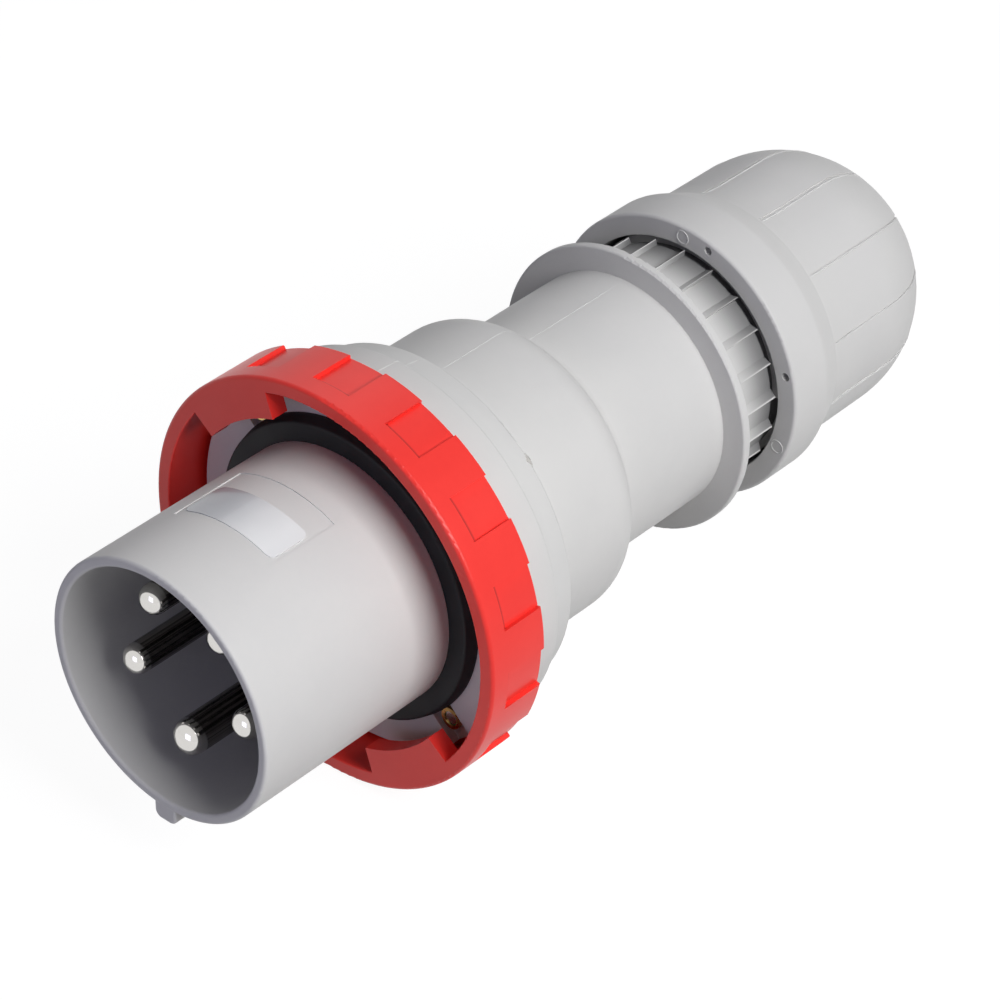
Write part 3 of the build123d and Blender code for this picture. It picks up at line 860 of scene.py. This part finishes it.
@dataclass
class Barrel:
    """The housing with its screws, seal, mould lines along its top and bottom, and thread."""

    shop: Shop
    finishes: Finishes
    line_angles: tuple[float, ...] = (90.5, 270.5)
    line: RaisedLine = RaisedLine(0.6 * MM, 0.08 * MM)
    line_spans: Places = ((41.0 * MM, 133.6 * MM), (15.5 * MM, 38.0 * MM))
    neck: Sunk = Sunk(137.4 * MM, 160.5 * MM, 42.2 * MM, 1.3 * MM)
    thread_root: Sunk = Sunk(160.5 * MM, 160.5 * MM, 41.9 * MM, 2.9 * MM)
    thread_radius: float = 39.2 * MM
    thread_height: float = 2.7 * MM
    thread_pitch: float = 4.0 * MM
    thread_start: float = 165.0 * MM
    thread_root_depth: float = 0.1 * MM
    thread_foot_share: float = 0.8
    thread_crest_share: float = 0.3
    thread_turns: int = 6
    thread_steps: int = 96

    def build(self) -> None:
        """Dresses the housing and its screws, and adds its fine detail."""
        span = (self.neck.start, self.neck.end)
        housing = self.shop.smooth("housing", "housing_moulding", Body.PLUG, self.finishes.housing,
                                   crisp=(span,), sunk=(self.neck, self.thread_root))
        self.shop.smooth("flange_screws", "flange_screw_set", Body.PLUG, self.finishes.steel, FLANGE_SCREWS)
        self.shop.smooth("flange_o_ring", "flange_seal", Body.PLUG, self.finishes.rubber)
        self._mould_lines(housing)
        self._thread()

    def _mould_lines(self, housing: Piece) -> None:
        """Runs a fine raised line along the housing at each angle, over every span.

        Args:
            housing: the moulding that the lines follow.
        """
        tree = surface_of(housing)
        work = bmesh.new()
        for angle in self.line_angles:
            for start, end in self.line_spans:
                self.line.along(work, tree, angle, start, end)
        self.shop.add(work, "mould_lines", Body.PLUG, self.finishes.grey)

    def _thread(self) -> None:
        """Winds a low thread round the end of the neck, inside the nut."""
        work = bmesh.new()
        foot = self.thread_radius - self.thread_root_depth
        crest = self.thread_radius + self.thread_height
        wide = self.thread_pitch / 2 * self.thread_foot_share
        narrow = self.thread_pitch / 2 * self.thread_crest_share
        profile = ((foot, -wide), (crest, -narrow), (crest, narrow), (foot, wide))
        face = work.faces.new([work.verts.new((out, self.thread_start + y, 0.0)) for out, y in profile])
        bmesh.ops.spin(work, geom=[face], cent=(0.0, 0.0, 0.0), axis=(0.0, -1.0, 0.0),
                       steps=self.thread_steps * self.thread_turns, angle=math.tau * self.thread_turns,
                       dvec=(0.0, self.thread_pitch / self.thread_steps, 0.0))
        self.shop.add(work, "neck_thread", Body.PLUG, self.finishes.grey)


@dataclass
class CableGland:
    """Nut, washer, cage and rubber seal of the cable gland, with the nut's fine moulded marks."""

    shop: Shop
    finishes: Finishes
    nut_front: float = 160.7 * MM
    dome_front: float = 187.0 * MM
    mark_angles: tuple[float, ...] = (88.0, 160.0, 268.0, 340.0)
    mark_circle: float = 47.2 * MM
    mark_root: float = 0.05 * MM
    mark_rim: float = 0.2 * MM
    mark_floor: float = 0.04 * MM
    mark_foot_radius: float = 2.6 * MM
    mark_rim_radii: tuple[float, float] = (2.5 * MM, 2.15 * MM)
    mark_floor_radius: float = 2.0 * MM
    mark_segments: int = 48
    edge_reach: float = 0.5 * MM
    blank_angles: tuple[float, ...] = (135.0, 315.0)
    blank_circle: float = 48.0 * MM
    blank_radius: float = 1.6 * MM
    blank_height: float = 0.01 * MM
    blank_depth: float = 0.6 * MM
    lip: RaisedLine = RaisedLine(0.8 * MM, 0.22 * MM, steps=80, fade=20.0)
    lip_angles: tuple[float, ...] = tuple(13.9 + 30.0 * index for index in range(12))
    lip_span: tuple[float, float] = (187.8 * MM, 246.0 * MM)

    def _ejector_marks(self) -> None:
        """Adds the low rimmed rounds that the mould's pins leave."""
        outer, inner = self.mark_rim_radii
        profile = ((0.0, -self.mark_root), (self.mark_foot_radius, -self.mark_root),
                   (outer, self.mark_rim), (inner, self.mark_rim),
                   (self.mark_floor_radius, self.mark_floor), (0.0, self.mark_floor))
        work = bmesh.new()
        for x, z in on_circle(self.mark_circle, *self.mark_angles):
            line = [work.verts.new((x + out, self.nut_front - up, z)) for out, up in profile]
            edges = [work.edges.new(pair) for pair in zip(line, line[1:])]
            bmesh.ops.spin(work, geom=line + edges, cent=(x, 0.0, z), axis=(0.0, 1.0, 0.0),
                           steps=self.mark_segments, angle=math.tau, use_merge=True)
        bmesh.ops.remove_doubles(work, verts=work.verts, dist=self.shop.weld)
        self.shop.add(work, "ejector_marks", Body.NUT, self.finishes.grey)

    def _lips(self, nut: Piece) -> None:
        """Raises a fine lip along one side of each line in the dome.

        Args:
            nut: the moulding that the lips follow.
        """
        tree = surface_of(nut)
        work = bmesh.new()
        for angle in self.lip_angles:
            self.lip.along(work, tree, angle, *self.lip_span)
        self.shop.add(work, "dome_lips", Body.NUT, self.finishes.grey)

    def _blanks(self) -> None:
        """Fills the two spanner holes that the photographed nut doesn't have."""
        work = bmesh.new()
        radius = self.blank_radius
        length = self.blank_depth + self.blank_height
        middle = self.nut_front + (self.blank_depth - self.blank_height) / 2
        for x, z in on_circle(self.blank_circle, *self.blank_angles):
            place = Matrix.Translation((x, middle, z)) @ Matrix.Rotation(math.pi / 2, 4, "X")
            bmesh.ops.create_cone(work, cap_ends=True, segments=self.mark_segments, radius1=radius,
                                  radius2=radius, depth=length, matrix=place)
        self.shop.add(work, "filled_holes", Body.NUT, self.finishes.grey)

    def build(self) -> None:
        """Dresses the gland."""
        self._ejector_marks()
        self._blanks()
        edge = (self.dome_front - self.edge_reach, self.dome_front + self.edge_reach)
        nut = self.shop.smooth("gland_nut", "domed_nut", Body.NUT, self.finishes.grey, crisp=(edge,))
        self._lips(nut)
        self.shop.smooth("slip_ring", "thrust_washer", Body.WASHER, self.finishes.insert)
        self.shop.smooth("clamp_cage", "finger_cage", Body.PLUG, self.finishes.insert)
        self.shop.smooth("gland_seal", "cable_seal", Body.PLUG, self.finishes.rubber)


@dataclass(frozen=True)
class Lamp:
    """A soft square lamp that looks at the plug's middle."""

    name: str
    towards: Colour
    size: float
    power: float
    colour: Colour = WHITE
    distance: float = 1.6

    def place(self, aim: Vector) -> None:
        """Hangs the lamp.

        Args:
            aim: the point that it shines at.
        """
        light = bpy.data.lights.new(self.name, "AREA")
        light.shape = "SQUARE"
        light.size = self.size
        light.energy = self.power
        light.color = self.colour
        lamp = bpy.data.objects.new(self.name, light)
        direction = Vector(self.towards).normalized()
        lamp.location = aim + direction * self.distance
        lamp.rotation_mode = "QUATERNION"
        lamp.rotation_quaternion = direction.to_track_quat("Z", "Y")
        bpy.context.scene.collection.objects.link(lamp)


@dataclass
class PhotoCamera:
    """The photograph's camera, found from the plug's own circles and edges."""

    azimuth: float = math.radians(41.659)
    elevation: float = math.radians(36.146)
    roll: float = math.radians(-0.171)
    anchor: Colour = (0.0, 0.021, 0.0)
    offset_right: float = -0.03502
    offset_down: float = 0.01325
    distance: float = 1.25227
    sensor: float = 36.0
    lens: float = 144.69
    nearest: float = 10.0 * MM

    def place(self) -> None:
        """Makes the camera and looks through it."""
        level = math.cos(self.elevation)
        sideways, onwards = math.sin(self.azimuth), math.cos(self.azimuth)
        forward = Vector((-sideways * level, onwards * level, -math.sin(self.elevation)))
        flat_right = Vector((onwards, sideways, 0.0))
        flat_down = forward.cross(flat_right)
        right = flat_right * math.cos(self.roll) + flat_down * math.sin(self.roll)
        down = flat_down * math.cos(self.roll) - flat_right * math.sin(self.roll)
        shift = right * self.offset_right + down * self.offset_down
        where = Vector(self.anchor) - shift - forward * self.distance
        data = bpy.data.cameras.new("photo_camera")
        data.sensor_width = self.sensor
        data.lens = self.lens
        data.clip_start = self.nearest
        camera = bpy.data.objects.new("photo_camera", data)
        turn = Matrix((right, -down, -forward)).transposed().to_4x4()
        camera.matrix_world = Matrix.Translation(where) @ turn
        bpy.context.scene.collection.objects.link(camera)
        bpy.context.scene.camera = camera


@dataclass
class Studio:
    """Pale floor, soft lamps, even surroundings and the camera."""

    floor_half: float = 4.0
    floor_colour: Colour = (0.42, 0.42, 0.42)
    fibre_shade: float = 0.985
    fibre_scale: float = 30.0
    floor_roughness: float = 0.9
    floor_sheen: float = 0.1
    white_to_camera: float = 0.7
    white_level: float = 1.34
    surroundings: Colour = (0.78, 0.78, 1.0)
    surroundings_strength: float = 0.06
    lamps: tuple[Lamp, ...] = (
        Lamp("key_lamp", (0.78, -0.08, 0.61), size=0.8, power=23.2),
        Lamp("top_lamp", (-0.45, 0.30, 0.84), size=1.4, power=4.8),
        Lamp("front_lamp", (0.10, -0.96, 0.2), size=0.8, power=3.2, colour=(0.72, 0.70, 1.0)),
    )

    def build(self) -> None:
        """Sets the whole studio up."""
        low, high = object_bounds()
        self._floor(low.z)
        self._world()
        for lamp in self.lamps:
            lamp.place((low + high) / 2)
        PhotoCamera().place()
        bpy.context.scene.view_settings.view_transform = "Standard"

    def _floor(self, height: float) -> None:
        """Lays the floor.

        Args:
            height: where it lies.
        """
        work = bmesh.new()
        bmesh.ops.create_grid(work, x_segments=2, y_segments=2, size=self.floor_half,
                              matrix=Matrix.Translation((0.0, 0.0, height)))
        mesh = bpy.data.meshes.new("studio_floor")
        work.to_mesh(mesh)
        work.free()
        graph = Surface("floor_paper")
        fibre = graph.noise(graph.place, self.fibre_scale, detail=3.0, rough=0.5)
        shade = tuple(channel * self.fibre_shade for channel in self.floor_colour)
        graph.feed(graph.shader, "Base Color", graph.blend(fibre, self.floor_colour, shade))
        graph.feed(graph.shader, "Roughness", self.floor_roughness)
        graph.feed(graph.shader, "Specular IOR Level", self.floor_sheen)
        glow = graph.node("ShaderNodeEmission", {}, {"Color": WHITE, "Strength": self.white_level})
        mix = graph.mix_shaders(graph.shows_backdrop() * self.white_to_camera, graph.shader, glow)
        graph.feed(graph.output, "Surface", mix.value())
        mesh.materials.append(graph.material)
        floor = bpy.data.objects.new("studio_floor", mesh)
        bpy.context.scene.collection.objects.link(floor)
        floor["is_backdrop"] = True

    def _world(self) -> None:
        """Lights the plug evenly from all round, and shows white where it is seen."""
        world = bpy.data.worlds.new("studio_world")
        world.use_nodes = True
        graph = Graph(world.node_tree)
        even = graph.node("ShaderNodeBackground", {},
                          {"Color": self.surroundings, "Strength": self.surroundings_strength})
        white = graph.node("ShaderNodeBackground", {}, {"Color": WHITE, "Strength": 1.0})
        mix = graph.mix_shaders(graph.shows_backdrop(), even, white)
        graph.node("ShaderNodeOutputWorld", {}, {"Surface": mix.value()})
        bpy.context.scene.world = world


def main() -> None:
    """Builds every sub-assembly in order, then the studio."""
    logging.basicConfig(level=logging.INFO, format="%(name)s: %(message)s")
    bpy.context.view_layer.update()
    shop = Shop()
    finishes = Finishes()
    for assembly in (FrontEnd, Contacts, BayonetRing, Barrel, CableGland):
        LOG.info("building %s", assembly.__name__)
        assembly(shop, finishes).build()
    Studio().build()


if __name__ == "__main__":
    main()
